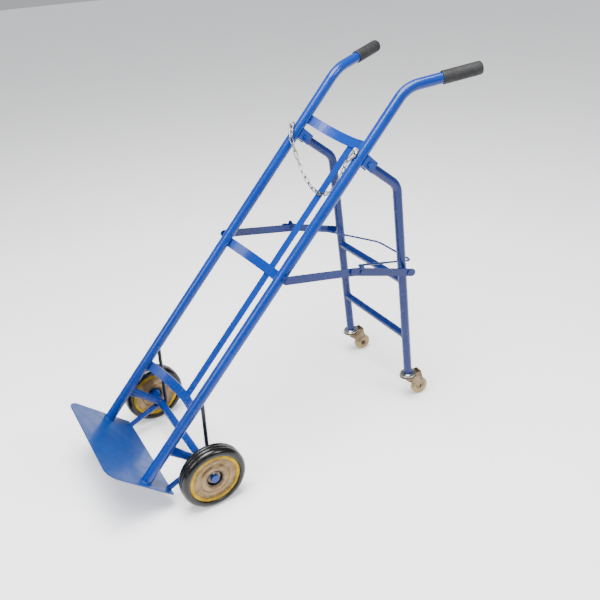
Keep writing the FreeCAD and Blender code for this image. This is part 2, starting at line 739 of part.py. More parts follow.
def leg_brackets():
    """A downward-open channel on the back of each stile, with the leg's pivot across it."""
    body = new_body(STILE)
    inner = "(Size.leg_radius + Size.side_gap * 1.5)"
    outer = f"({inner} + Size.bracket_wall)"
    top = "(Size.pivot_along + Size.leg_radius + Size.bracket_headroom)"
    low = "(Size.pivot_along - Size.bracket_skirt)"
    left, right = f"Size.stile_x - {outer}", f"Size.stile_x + {outer}"
    points = [(left, low), (left, f"{top} + Size.bracket_wall"), (right, f"{top} + Size.bracket_wall"),
              (right, low), (f"Size.stile_x + {inner}", low), (f"Size.stile_x + {inner}", top),
              (f"Size.stile_x - {inner}", top), (f"Size.stile_x - {inner}", low)]
    drawing = outline(sketch(body, "XZ", "-Size.bracket_start"), points,
                      {1: "Size.bracket_wall", 2: "Size.bracket_wall"})
    feature = pad(body, drawing, "Size.bracket_behind - Size.bracket_start")
    feature.Reversed = True
    doc.recompute()
    pocket_through(body, ring(sketch(body, "XY"), ("Size.stile_x", "0"), "Size.stile_radius"))
    pocket_through(body, ring(sketch(body, "YZ"), ("Size.pivot_behind", "Size.pivot_along"),
                              "Size.hinge_bolt_radius"))
    pair("leg_bracket", body)

    start = f"(Size.stile_x - {outer})"
    width = f"(2 * {outer})"
    spot = ("Size.pivot_behind", "Size.pivot_along")
    shank = rod("Size.hinge_bolt_radius", f"{width} + Size.head_wall + 3",
                (f"{start} - Size.head_wall - 3",) + spot, "X")
    head = hexagon("Size.hinge_bolt_radius * 1.9", "Size.head_wall", (f"{start} + {width}",) + spot)
    bolt = fuse(shank, head)
    put(bolt, STILE)
    both("hinge_bolts", bolt)
    nut = cut(hexagon("Size.hinge_bolt_radius * 1.9", "Size.head_wall", (f"{start} - Size.head_wall",) + spot),
              rod("Size.hinge_bolt_radius", "3 * Size.head_wall", (f"{start} - 2 * Size.head_wall",) + spot, "X"))
    put(nut, STILE)
    both("hinge_nuts", nut)


# ---- Leg frame ------------------------------------------------------------------------

def legs():
    """One bent tube on each side, from the hinge barrel down to its castor."""
    body = new_body(RIGHT_LEG)
    path = sketch(body, "YZ")
    turn = "(Size.leg_drop + Size.leg_lean)"
    pivot = (f"-Size.leg_top_run * cos({turn})", f"At.leg_run + Size.leg_top_run * sin({turn})")
    outline(path, [("0", "0"), ("0", "At.leg_run"), pivot], {1: "Size.leg_bend_radius"}, closed=False)
    profile = ring(sketch(body, "XY"), ("0", "0"), "Size.leg_radius", "Size.leg_radius - Size.tube_wall")
    doc.recompute()
    pipe(body, path, profile)
    pocket_through(body, ring(sketch(body, "YZ"), pivot, "Size.leg_radius"))
    pair("leg", body)

    barrel = new_body(("Size.stile_x",) + ("At.pivot_y", "At.pivot_z", "0"))
    drawing = ring(sketch(barrel, "YZ"), ("0", "0"), "Size.leg_radius",
                   "Size.hinge_bolt_radius + Size.running_gap")
    pad(barrel, drawing, "2 * Size.leg_radius", symmetric=True)
    both("leg_barrels", barrel)


def leg_crossbar(label, height):
    body = new_body(LEG)
    drawing = ring(sketch(body, "YZ"), ("0", height), "Size.crossbar_radius",
                   "Size.crossbar_radius - Size.tube_wall")
    pad(body, drawing, "2 * Size.stile_x", symmetric=True)
    cope = sketch(body, "XY")
    ring(cope, ("Size.stile_x", "0"), "Size.leg_radius")
    ring(cope, ("-Size.stile_x", "0"), "Size.leg_radius")
    pocket_through(body, cope)
    keep(label, body)


# ---- Folding stays and release bail ---------------------------------------------------

def stay_pin(prefix, frame, spot, tube_radius, seat):
    """A boss welded to the outside of a tube, and the bolt that holds a stay against it."""
    boss = cut(rod("Size.boss_radius", f"{seat} - Size.stile_x", ("Size.stile_x",) + spot, "X"),
               rod(tube_radius, "Size.bend_along", ("Size.stile_x", "0", "-Size.stay_half"), "Z"),
               rod("Size.stay_bolt_radius", "2 * Size.stile_x", ("0",) + spot, "X"))
    put(boss, frame)
    both(prefix + "_stay_bosses", boss)
    outside = f"({seat} + Size.stay_wall + Size.side_gap)"
    start = f"(Size.stile_x + {tube_radius} + 0.5)"
    bolt = fuse(rod("Size.stay_bolt_radius", f"{outside} - {start}", (start,) + spot, "X"),
                rod("Size.stay_head_radius", "Size.knee_head_wall", (outside,) + spot, "X"))
    put(bolt, frame)
    both(prefix + "_stay_bolts", bolt)


def stay(first, last, side, holes):
    """A flat bar with round ends, standing beside the frame, with a hole at each pin."""
    body = new_body(GROUND)
    pad(body, slot(sketch(body, "YZ", side), first, last, "Size.stay_half"), "Size.stay_wall")
    for spot, radius in holes:
        pocket_through(body, ring(sketch(body, "YZ"), spot, radius))
    return body


def stays():
    front = ("At.front_pin_y", "At.front_pin_z")
    knee = ("At.knee_y", "At.knee_z")
    rear = ("At.rear_pin_y", "At.rear_pin_z")
    tail = tuple(f"{pinned} + Size.stay_tail * ({pinned} - {bent}) / At.rear_run"
                 for pinned, bent in zip(rear, knee))
    nose = tuple(f"{bent} - Size.knee_lap * ({pinned} - {bent}) / At.rear_run"
                 for pinned, bent in zip(rear, knee))
    knee_hole = (knee, "Size.stay_bolt_radius")
    pair("front_stay", stay(front, knee, "At.stay_x", [(front, "At.bolt_bore"), knee_hole]))
    pair("rear_stay", stay(nose, tail, "At.rear_stay_x", [(rear, "At.bolt_bore"), knee_hole]))

    back = "At.stay_x - Size.knee_head_wall"
    reach = "Size.stay_wall + Size.knee_head_wall"
    half_rivet = fuse(rod("Size.stay_bolt_radius", f"{reach} + Size.stay_gap / 4", (back,) + knee, "X"),
                      rod("Size.stay_head_radius", "Size.knee_head_wall", (back,) + knee, "X"))
    pair("front_knee_rivet", half_rivet)
    start = "At.rear_stay_x - Size.stay_gap / 4"
    half_rivet = fuse(rod("Size.stay_bolt_radius", f"{reach} + Size.stay_gap / 4", (start,) + knee, "X"),
                      rod("Size.stay_head_radius", "Size.knee_head_wall",
                          ("At.rear_stay_x + Size.stay_wall",) + knee, "X"))
    both("rear_knee_rivets", half_rivet)


def release_bail():
    """The bent wire between the rear stays; it crosses over both knees to a lug on each rear stay."""
    body = new_body(BAIL)
    path = sketch(body, "XY")
    side = "(At.rear_stay_x + Size.stay_wall + Size.bail_lug_wall)"
    step = "(At.stay_x - Size.bail_elbow)"
    rear, front = "0", "-Size.bail_run"
    points = [(side, front), (step, front), ("Size.bail_half", rear), ("-Size.bail_half", rear),
              (f"-{step}", front), (f"-{side}", front)]
    radii = {1: "Size.bail_elbow", 2: "Size.bail_corner", 3: "Size.bail_corner", 4: "Size.bail_elbow"}
    outline(path, points, radii, closed=False)
    profile = ring(sketch(body, "YZ", side), (front, "0"), "Size.bail_radius")
    doc.recompute()
    pipe(body, path, profile)
    for start in (f"{side} - Size.bail_lug_wall", f"-{side}"):
        pad(body, ring(sketch(body, "YZ", start), (front, "0"), "Size.bail_lug_radius"), "Size.bail_lug_wall")
    keep("release_bail", body)


# ---- Castors --------------------------------------------------------------------------

def turned_upright(frame, points, radii=None):
    """A body turned about its own Z axis from an outline of (radius, height) points."""
    body = new_body(frame)
    revolve(body, outline(sketch(body, "XZ"), points, radii), "V_Axis")
    return body


def castors():
    plug = "Size.leg_radius - Size.tube_wall"
    race = "-Size.raceway_height"
    stem = turned_upright(RIGHT_LEG, [("0", "30"), (plug, "30"), (plug, "0"), ("Size.stem_radius", "0"),
                                      ("Size.stem_radius", f"{race} - 5"), ("0", f"{race} - 5")])
    both("castor_stems", stem)
    head = turned_upright(RIGHT_LEG, [("Size.stem_radius", "0"), ("Size.raceway_radius - 9", "0"),
                                      ("Size.raceway_radius", "-4"), ("Size.raceway_radius", race),
                                      ("Size.stem_radius", race)], {2: "2"})
    both("castor_heads", head)

    body = new_body(RIGHT_LEG)
    low, high = "At.fork_top - Size.fork_wall", "At.fork_top"
    axle_spot = ("Size.castor_trail", "-At.castor_drop")
    shoulder = "Size.castor_trail + 11"
    foot = "11 - At.castor_drop"
    drawing = outline(sketch(body, "YZ"),
                      [("-16", high), ("-16", f"{high} - 14"), ("Size.castor_trail - 17", f"{foot} + 2"),
                       ("Size.castor_trail - 9", "-At.castor_drop - 9"), (shoulder, "-At.castor_drop - 9"),
                       (shoulder, foot), ("Size.fork_rear", high)],
                      {3: "7", 4: "8"})
    pad(body, drawing, "2 * At.fork_half", symmetric=True)
    gap = outline(sketch(body, "YZ"),
                  [("-60", low), ("-60", "-At.castor_drop - 30"), ("120", "-At.castor_drop - 30"), ("120", low)])
    pocket_between(body, gap, "2 * (At.fork_half - Size.fork_wall)")
    plate = ring(sketch(body, "XY", low), ("0", "0"), "Size.fork_radius")
    pad(body, plate, "Size.fork_wall")
    bore = ring(sketch(body, "XY"), ("0", "0"), "Size.stem_radius + Size.running_gap")
    pocket_through(body, bore)
    pocket_through(body, ring(sketch(body, "YZ"), axle_spot, "Size.stay_bolt_radius"))
    pair("castor_fork", body)

    shank = rod("Size.stay_bolt_radius", "2 * At.fork_half + 7", ("-At.fork_half - 7",) + axle_spot, "X")
    head = hexagon("Size.stay_head_radius", "4", ("At.fork_half",) + axle_spot)
    bolt = fuse(shank, head)
    put(bolt, RIGHT_LEG)
    nut = cut(hexagon("Size.stay_head_radius", "5", ("-At.fork_half - 5",) + axle_spot),
              rod("Size.stay_bolt_radius", "20", ("-At.fork_half - 12",) + axle_spot, "X"))
    put(nut, RIGHT_LEG)
    pair("castor_axle", group(bolt, nut))

    tread = "Size.castor_width / 2"
    hub = f"{tread} + Size.fork_clearance - 0.3"
    body = new_body(RIGHT_LEG)
    drawing = sketch(body, "XY", "-At.castor_drop")
    shift = "Size.castor_trail"
    points = [("-" + tread, "11"), ("-" + tread, "Size.castor_radius"), (tread, "Size.castor_radius"),
              (tread, "11"), (hub, "9"), (hub, "At.bolt_bore"), (f"-({hub})", "At.bolt_bore"), (f"-({hub})", "9")]
    outline(drawing, [(x, f"{shift} + {radius}") for x, radius in points],
            {1: "Size.castor_corner", 2: "Size.castor_corner"})
    line = Part.LineSegment(Vector(-20, value(shift), 0), Vector(20, value(shift), 0))
    axis = drawing.addGeometry(line, True)
    pin(drawing, axis, 1, ("-20", shift))
    pin(drawing, axis, 2, ("20", shift))
    doc.recompute()
    revolve(body, drawing, "Axis0")
    pair("castor_wheel", body)


# ---- Retaining chain ------------------------------------------------------------------

def oval_link(inside, half_width, wire):
    """One oval link along X, lying in the XY plane, about the origin."""
    side = half_width - wire
    straight = inside / 2 + wire - side
    quarter = math.pi / 2
    runs = []
    for way in (1, -1):
        circle = Part.Circle(Vector(way * straight, 0, 0), Vector(0, 0, 1), side)
        start = -quarter if way > 0 else quarter
        runs.append(Part.ArcOfCircle(circle, start, start + 2 * quarter).toShape())
        low, high = Vector(-way * straight, way * side, 0), Vector(way * straight, way * side, 0)
        runs.append(Part.makeLine(high, low))
    path = Part.Wire(Part.__sortEdges__(runs))
    start = path.Edges[0].valueAt(path.Edges[0].FirstParameter)
    heading = path.Edges[0].tangentAt(path.Edges[0].FirstParameter)
    profile = Part.Wire(Part.Circle(start, heading, wire).toShape())
    return path.makePipeShell([profile], True, False)


def catenary(half_span, length):
    """The constant of a catenary of this length over the span, found by halving."""
    low, high = half_span / 20, half_span * 50
    for _ in range(60):
        middle = (low + high) / 2
        if 2 * middle * math.sinh(half_span / middle) > length:
            low = middle
        else:
            high = middle
    return (low + high) / 2


def from_stile(across, behind, along):
    """A point of the stiles' frame, in the ground frame."""
    lean = math.radians(value("Size.lean"))
    return Vector(across,
                  value("At.foot_y") + along * math.sin(lean) + behind * math.cos(lean),
                  value("At.foot_z") + along * math.cos(lean) - behind * math.sin(lean))


def chain_eyes():
    """A round eye welded to the front of each stile."""
    eye = doc.addObject("Part::Torus", "Eye")
    eye.setExpression("Radius1", "Size.eye_radius")
    eye.setExpression("Radius2", "Size.eye_wire")
    eye.Placement = Placement(Vector(0, 0, 0), Rotation(Vector(0, 1, 0), 90))
    eye.setExpression("Placement.Base.x", "Size.stile_x")
    eye.setExpression("Placement.Base.y", "-(Size.stile_radius + Size.eye_radius + Size.eye_wire * 0.5)")
    eye.setExpression("Placement.Base.z", "Size.chain_along")
    doc.recompute()
    eye = cut(eye, rod("Size.stile_radius", "Size.bend_along", ("Size.stile_x", "0", "0"), "Z"))
    put(eye, STILE)
    both("chain_eyes", eye)


def chain():
    """Hooks that lie on the stiles, and links that hang between them and rest on the strap."""
    along = value("Size.chain_along")
    side = value("Size.stile_x")
    wire = value("Size.hook_wire")
    eye_wire = value("Size.eye_wire")
    eye_radius = value("Size.eye_radius")
    middle = value("Size.stile_radius") + eye_radius + eye_wire / 2
    half_width = value("Size.chain_half_width")
    half_length = value("Size.hook_length") / 2 - wire

    heading = Vector(-26, 8, -36).normalize()
    pull = Vector(0, heading.y, heading.z).normalize()
    outward = Vector(0, pull.z, -pull.y)
    width = outward.cross(heading).normalize()
    outward = heading.cross(width)
    top = Vector(side, -middle, along) + pull * eye_radius - heading * (wire + eye_wire + 0.15)
    hook = oval_link(2 * (half_length - wire), half_width + 1.5, wire)
    hook.Placement = Placement(top + heading * half_length, Rotation(heading, width, outward, "XYZ"))
    item = doc.addObject("Part::Feature", "Hook")
    item.Shape = Part.makeCompound([hook])
    put(item, STILE)
    doc.recompute()
    both("chain_hooks", item)

    tip = top + heading * (2 * half_length)
    tip = from_stile(tip.x, tip.y, tip.z)
    inside = value("Size.chain_inside")
    step = inside - 0.4
    count = int(value("Size.chain_count"))
    length = (count - 1) * step + inside - 2 * (wire + 0.6)
    rest = value("Size.bar_depth") - half_width - 0.6
    lean = math.radians(value("Size.lean"))
    middle_y = tip.y
    for _ in range(8):
        half_span = math.hypot(tip.x, tip.y - middle_y)
        curve = catenary(half_span, length)
        low = tip.z - curve * (math.cosh(half_span / curve) - 1)
        fall = (low - value("At.foot_z")) * math.sin(lean)
        middle_y = min(tip.y, value("At.foot_y") + (rest + fall) / math.cos(lean))
    turn = math.degrees(math.atan2(tip.y - middle_y, tip.x))
    link = oval_link(inside, half_width, value("Size.chain_wire"))
    links = []
    for index in range(count):
        travel = (index - (count - 1) / 2) * step
        out = curve * math.asinh(travel / curve)
        slope = math.degrees(math.atan(math.sinh(out / curve)))
        way = (travel > 0) - (travel < 0)
        copy = link.copy()
        copy.rotate(Vector(0, 0, 0), Vector(1, 0, 0), 90 * (index % 2))
        copy.rotate(Vector(0, 0, 0), Vector(0, 1, 0), -slope)
        copy.rotate(Vector(0, 0, 0), Vector(0, 0, 1), way * turn)
        share = abs(out) / half_span
        copy.translate(Vector(out * tip.x / half_span, middle_y + share * (tip.y - middle_y),
                              low + curve * (math.cosh(out / curve) - 1)))
        links.append(copy)
    item = doc.addObject("Part::Feature", "Links")
    item.Shape = Part.makeCompound(links)
    doc.recompute()
    keep("chain_links", item)


toe_plate()
stiles()
grips()
cradle_bar("lower_cradle_bar", "Size.lower_bar_along")
cradle_bar("middle_cradle_bar", "Size.middle_bar_along")
cradle_bar("upper_cradle_bar", "Size.upper_bar_along")
centre_strap()
axle()
axle_struts()
plate_struts()
brace_rods()
wheels()
leg_brackets()
legs()
leg_crossbar("lower_leg_crossbar", "Size.lower_crossbar_up")
leg_crossbar("upper_leg_crossbar", "Size.upper_crossbar_up")
stay_pin("stile", STILE, ("Size.stay_behind", "Size.stay_along"), "Size.stile_radius", "At.stay_x - 0.3")
stay_pin("leg", LEG, ("0", "Size.stay_pin_up"), "Size.leg_radius", "At.rear_stay_x - 0.3")
stays()
release_bail()
castors()
chain_eyes()
chain()

doc.recompute()
for item in doc.Objects:
    if "Invalid" in item.State or "Error" in item.State:
        raise RuntimeError(f"{item.Name} ({item.Label}) failed: {item.State}")
for item in PARTS:
    if item.Shape.isNull() or not item.Shape.isValid() or not item.Shape.Solids:
        raise RuntimeError(f"{item.Label} is not a valid solid")

os.makedirs("parts", exist_ok=True)
for item in PARTS:
    item.Shape.exportStep(os.path.join("parts", item.Label + ".step"))
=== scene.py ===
import json
import math

import bmesh
import bpy
from bpy.props import FloatProperty, FloatVectorProperty, IntProperty, PointerProperty
from mathutils import Matrix, Vector


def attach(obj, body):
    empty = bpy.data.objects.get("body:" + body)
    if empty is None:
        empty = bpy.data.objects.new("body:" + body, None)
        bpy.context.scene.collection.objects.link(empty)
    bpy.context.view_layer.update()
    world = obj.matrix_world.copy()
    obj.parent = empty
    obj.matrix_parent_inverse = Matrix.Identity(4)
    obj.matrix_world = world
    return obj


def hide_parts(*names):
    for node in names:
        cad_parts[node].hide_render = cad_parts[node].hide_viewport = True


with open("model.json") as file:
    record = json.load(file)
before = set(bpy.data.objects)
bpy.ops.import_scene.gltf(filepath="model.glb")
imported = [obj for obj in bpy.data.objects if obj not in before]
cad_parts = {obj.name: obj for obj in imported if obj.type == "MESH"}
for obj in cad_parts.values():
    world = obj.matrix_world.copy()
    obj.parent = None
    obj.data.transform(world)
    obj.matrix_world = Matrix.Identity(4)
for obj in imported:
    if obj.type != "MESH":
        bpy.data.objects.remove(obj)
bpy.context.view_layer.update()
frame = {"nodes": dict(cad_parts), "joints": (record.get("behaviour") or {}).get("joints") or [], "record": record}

bl_info = {
    "name": "Cylinder Hand Truck",
    "version": (1, 0, 0),
    "blender": (4, 5, 0),
    "location": "View3D > Sidebar > Hand Truck",
    "description": "Finishes and fine pieces for a cylinder hand truck with fold-out castor legs",
    "category": "Object",
}

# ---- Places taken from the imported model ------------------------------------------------

SIDES = (("right", 1), ("left", -1))
ACROSS = Vector((1, 0, 0))
JOINTS = {joint["name"]: joint for joint in frame["joints"]}
MOUNT = frame["record"]["mounts"][0]
STILE_UP = -Vector(MOUNT["axis"])
STILE_BACK = STILE_UP.cross(ACROSS)
TOE_BEHIND = 0.060
PLATE_WALL = 0.004
FOOT = Vector(MOUNT["pos_m"]) + STILE_BACK * TOE_BEHIND + STILE_UP * PLATE_WALL
LEG_UP = Vector(JOINTS["right_castor_turn"]["axis"])
LEG_BACK = LEG_UP.cross(ACROSS)

STILE_X = JOINTS["right_castor_turn"]["pos_m"][0]
STILE_RADIUS = 0.016
LEG_RADIUS = 0.014
CROSSBAR_RADIUS = 0.0125
AXLE_RADIUS = 0.0125
BEND_ALONG = 1.331
BEND_ANGLE = math.radians(41.2)
SPLAY = math.radians(30.3)
HANDLE_RUN = 0.217
BAR_ALONG = (0.203, 0.677, 1.138)
BAR_HEIGHT = 0.031
CROSSBAR_UP = (0.152, 0.366)
AXLE_ALONG = 0.112
AXLE_BEHIND = 0.135
CHAIN_ALONG = 1.107
EYE_RADIUS = 0.008
EYE_WIRE = 0.0025
HOOK_WIRE = 0.0022
HOOK_LENGTH = 0.044


def joint_point(name):
    return Vector(JOINTS[name]["pos_m"])


def on_stile(across, behind, along):
    """A point beside the stiles: across the truck, behind the stile's line and along it."""
    return FOOT + ACROSS * across + STILE_BACK * behind + STILE_UP * along


def on_leg(across, behind, up):
    """A point beside the legs, from the middle between their feet."""
    foot = joint_point("right_castor_turn")
    foot.x = 0
    return foot + ACROSS * across + LEG_BACK * behind + LEG_UP * up


def axes(first, second, third, origin):
    """The placing matrix whose X, Y and Z axes lie along three directions."""
    turn = Matrix((first, second, third)).transposed()
    return Matrix.Translation(origin) @ turn.to_4x4()


# ---- Shader helpers --------------------------------------------------------------------

def node(tree, kind, sockets=None, **fields):
    """Add a shader node; a socket given as another node's output is linked to it."""
    made = tree.nodes.new("ShaderNode" + kind)
    for field, value in fields.items():
        setattr(made, field, value)
    for socket, value in (sockets or {}).items():
        if isinstance(value, bpy.types.NodeSocket):
            tree.links.new(value, made.inputs[socket])
        else:
            made.inputs[socket].default_value = value
    return made


def new_finish(name, **shader):
    """An empty material: its tree, its main shader and its object coordinates."""
    material = bpy.data.materials.new(name)
    material.use_nodes = True
    tree = material.node_tree
    main = tree.nodes["Principled BSDF"]
    for socket, value in shader.items():
        main.inputs[socket.replace("_", " ")].default_value = value
    return material, tree, main, node(tree, "TexCoord").outputs["Object"]


def noise(tree, place, scale, detail=2.0, rough=0.5):
    sockets = {"Vector": place, "Scale": scale, "Detail": detail, "Roughness": rough}
    return node(tree, "TexNoise", sockets).outputs["Fac"]


def span(tree, value, low, high, to_low=0.0, to_high=1.0):
    """Map a value from one range to another, held at both ends."""
    sockets = {"Value": value, "From Min": low, "From Max": high, "To Min": to_low, "To Max": to_high}
    return node(tree, "MapRange", sockets, interpolation_type="SMOOTHSTEP").outputs["Result"]


def mixed(tree, share, first, second):
    made = node(tree, "Mix", {0: share, 6: first, 7: second}, data_type="RGBA")
    return made.outputs[2]


def times(tree, first, second):
    return node(tree, "Math", {0: first, 1: second}, operation="MULTIPLY").outputs[0]


def plus(tree, first, second):
    return node(tree, "Math", {0: first, 1: second}, operation="ADD").outputs[0]


def bumped(tree, main, height, depth, strength=1.0):
    made = node(tree, "Bump", {"Height": height, "Distance": depth, "Strength": strength})
    tree.links.new(made.outputs["Normal"], main.inputs["Normal"])


def colour(rgb, share=1.0):
    return (rgb[0] * share, rgb[1] * share, rgb[2] * share, 1.0)


# ---- Finishes --------------------------------------------------------------------------

def enamel(name, rgb, deep=0.82, shine=(0.22, 0.30), wear=0.0):
    """Glossy enamel: slow drift of shade, orange peel, small chips down to the primer."""
    material, tree, main, place = new_finish(name, Coat_Weight=0.12, Coat_Roughness=0.08,
                                             Specular_IOR_Level=0.28)
    drift = span(tree, noise(tree, place, 5.0, 3.0), 0.30, 0.70)
    paint = mixed(tree, drift, colour(rgb, deep), colour(rgb))
    dust = times(tree, span(tree, noise(tree, place, 40.0, 3.0, 0.5), 0.50, 0.80), 0.01 + wear * 0.05)
    paint = mixed(tree, dust, paint, (0.16, 0.24, 0.40, 1))
    zone = span(tree, noise(tree, place, 16.0, 2.0), 0.66 - wear * 0.12, 0.72 - wear * 0.12)
    fleck = span(tree, noise(tree, place, 330.0, 3.0, 0.6), 0.66 - wear * 0.04, 0.70 - wear * 0.04)
    chips = times(tree, zone, fleck)
    tree.links.new(mixed(tree, chips, paint, (0.10, 0.085, 0.075, 1)), main.inputs["Base Color"])
    gloss = span(tree, noise(tree, place, 30.0, 4.0), 0.3, 0.7, *shine)
    tree.links.new(plus(tree, gloss, times(tree, chips, 0.4)), main.inputs["Roughness"])
    peel = times(tree, noise(tree, place, 420.0, 1.0), 0.5)
    runs = times(tree, noise(tree, place, 60.0, 1.0), 1.2)
    bumped(tree, main, plus(tree, plus(tree, peel, runs), times(tree, chips, -2.5)), 0.00008, 0.4)
    return material


def plated(name, rgb, dull, shine=(0.22, 0.40), metal=1.0, scale=40.0):
    """Zinc plate or passivated steel: cloudy colour, fine scratches and a spangled gloss."""
    material, tree, main, place = new_finish(name, Metallic=metal)
    cloud = span(tree, noise(tree, place, scale, 4.0, 0.6), 0.3, 0.7)
    tree.links.new(mixed(tree, cloud, colour(dull), colour(rgb)), main.inputs["Base Color"])
    gloss = span(tree, noise(tree, place, scale * 2.6, 5.0, 0.65), 0.25, 0.75, *shine)
    tree.links.new(gloss, main.inputs["Roughness"])
    stretched = node(tree, "Mapping", {"Vector": place, "Scale": (1.0, 0.12, 1.0)}).outputs["Vector"]
    scratches = noise(tree, stretched, 900.0, 2.0)
    bumped(tree, main, plus(tree, scratches, noise(tree, place, 130.0, 3.0)), 0.00008, 0.6)
    return material


def grip_rubber():
    """Moulded rubber with a fine pebbled skin, greyer where hands have been."""
    material, tree, main, place = new_finish("grip_rubber_skin", Specular_IOR_Level=0.25)
    worn = span(tree, noise(tree, place, 24.0, 4.0, 0.6), 0.35, 0.7)
    tone = mixed(tree, worn, (0.0085, 0.0085, 0.0090, 1), (0.018, 0.018, 0.019, 1))
    pebbles = node(tree, "TexVoronoi", {"Vector": place, "Scale": 720.0}).outputs["Distance"]
    tone = mixed(tree, times(tree, pebbles, 0.5), tone, (0.028, 0.028, 0.029, 1))
    tree.links.new(tone, main.inputs["Base Color"])
    tree.links.new(span(tree, noise(tree, place, 60.0, 3.0), 0.3, 0.7, 0.50, 0.68), main.inputs["Roughness"])
    bumped(tree, main, plus(tree, pebbles, times(tree, noise(tree, place, 260.0, 2.0), 0.6)), 0.0005, 0.7)
    return material


def tyre_rubber():
    """Black solid rubber with a moulded gloss, dulled by dust in its grooves."""
    material, tree, main, place = new_finish("tyre_rubber_skin", Coat_Weight=0.12, Coat_Roughness=0.10,
                                             Specular_IOR_Level=0.30)
    dust = span(tree, noise(tree, place, 28.0, 5.0, 0.65), 0.45, 0.78)
    tone = mixed(tree, dust, (0.0022, 0.0020, 0.0018, 1), (0.009, 0.007, 0.005, 1))
    tree.links.new(tone, main.inputs["Base Color"])
    tree.links.new(span(tree, dust, 0.0, 1.0, 0.22, 0.46), main.inputs["Roughness"])
    grain = plus(tree, noise(tree, place, 480.0, 2.0), times(tree, noise(tree, place, 90.0, 2.0), 1.5))
    bumped(tree, main, grain, 0.00012, 0.5)
    return material


def moulded_nylon():
    """Cream castor nylon, with grime rolled into its tread."""
    material, tree, main, place = new_finish("castor_nylon_skin", Subsurface_Weight=0.08,
                                             Subsurface_Scale=0.004)
    grime = span(tree, noise(tree, place, 110.0, 5.0, 0.65), 0.48, 0.75)
    tone = mixed(tree, grime, (0.30, 0.215, 0.085, 1), (0.12, 0.082, 0.034, 1))
    tree.links.new(tone, main.inputs["Base Color"])
    tree.links.new(span(tree, grime, 0.0, 1.0, 0.28, 0.55), main.inputs["Roughness"])
    bumped(tree, main, noise(tree, place, 700.0, 3.0), 0.00015, 0.6)
    return material


def studio_floor():
    """Pale seamless studio paper with the faintest grain."""
    material, tree, main, place = new_finish("studio_paper", Roughness=0.9)
    grain = span(tree, noise(tree, place, 2.5, 3.0), 0.3, 0.7)
    tone = mixed(tree, grain, (0.94, 0.94, 0.94, 1), (0.96, 0.96, 0.96, 1))
    tree.links.new(tone, main.inputs["Base Color"])
    main.inputs["Emission Color"].default_value = (1, 1, 1, 1)
    main.inputs["Emission Strength"].default_value = 0.35
    return material


FINISHES = {}  # made on first use, by name


def finish(name):
    """The finish of this name, made once from the panel's colours."""
    if name not in FINISHES:
        colours = bpy.context.scene.truck_colours
        makers = {
            "frame blue": lambda: enamel("frame_enamel", colours.frame_paint, wear=0.15),
            # The leg enamel is painted shade: a darker copy of the frame blue.
            "shaded leg blue": lambda: enamel("shaded_leg_enamel", colours.leg_paint_with_painted_shade, wear=0.25),
            "plate blue": lambda: enamel("plate_enamel", colours.plate_paint, 0.80, (0.30, 0.42), wear=0.5),
            "weld blue": lambda: enamel("weld_enamel", colours.frame_paint, 0.5, (0.30, 0.50), wear=1.4),
            # The rod enamel is dark blue paint darkened further to near black as painted shade.
            "shaded rod blue": lambda: enamel("shaded_rod_enamel", colours.rod_paint_with_painted_shade, 0.6, (0.24, 0.40), wear=0.4),
            "grip rubber": grip_rubber,
            "tyre rubber": tyre_rubber,
            "gold rim": lambda: plated("yellow_zinc_plate", (0.34, 0.22, 0.020), (0.19, 0.115, 0.010),
                                       (0.32, 0.52)),
            # The disc colour is partly the real beige zinc and partly a painted reflection: a brown tint standing
            # in for a brown floor mirrored in the metal.
            "pressed disc": lambda: plated("disc_plate_with_painted_reflection", (0.25, 0.170, 0.088), (0.14, 0.090, 0.044),
                                           (0.30, 0.50), 0.85),
            "dull hub": lambda: plated("hub_plate", (0.16, 0.12, 0.085), (0.07, 0.055, 0.04),
                                       (0.35, 0.6), 0.7),
            "bright zinc": lambda: plated("bright_zinc_plate", (0.46, 0.46, 0.45), (0.13, 0.12, 0.105),
                                          (0.16, 0.36)),
            "castor zinc": lambda: plated("castor_zinc_plate", (0.24, 0.18, 0.11), (0.085, 0.060, 0.034),
                                          (0.22, 0.42)),
            "nylon": moulded_nylon,
            "studio paper": studio_floor,
        }
        FINISHES[name] = makers[name]()
    return FINISHES[name]


# ---- Mesh helpers ----------------------------------------------------------------------

def piece(name, shape, body, skin, stands_for=()):
    """Turn a bmesh into a finished piece that moves with a CAD body."""
    mesh = bpy.data.meshes.new(name)
    shape.to_mesh(mesh)
    shape.free()
    mesh.materials.append(finish(skin))
    made = bpy.data.objects.new(name, mesh)
    bpy.context.scene.collection.objects.link(made)
    mesh.shade_smooth()
    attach(made, body)
    if stands_for:
        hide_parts(*stands_for)
    return made


def lathe(outline, steps, place, closed=True):
    """A full turn about the X axis of an outline of (along, radius) points, then placed."""
    shape = bmesh.new()
    corners = [shape.verts.new((along, 0, radius)) for along, radius in outline]
    ends = list(zip(corners, corners[1:])) + ([(corners[-1], corners[0])] if closed else [])
    edges = [shape.edges.new(pair) for pair in ends]
    bmesh.ops.spin(shape, geom=corners + edges, cent=(0, 0, 0), axis=(1, 0, 0), dvec=(0, 0, 0),
                   angle=math.tau, steps=steps, use_merge=True)
    bmesh.ops.remove_doubles(shape, verts=shape.verts, dist=1e-6)
    bmesh.ops.transform(shape, matrix=place, verts=shape.verts)
    bmesh.ops.recalc_face_normals(shape, faces=shape.faces)
    return shape


def join(*shapes):
    """Put several bmeshes into one."""
    whole = bmesh.new()
    for shape in shapes:
        mesh = bpy.data.meshes.new("part")
        shape.to_mesh(mesh)
        shape.free()
        whole.from_mesh(mesh)
        bpy.data.meshes.remove(mesh)
    return whole


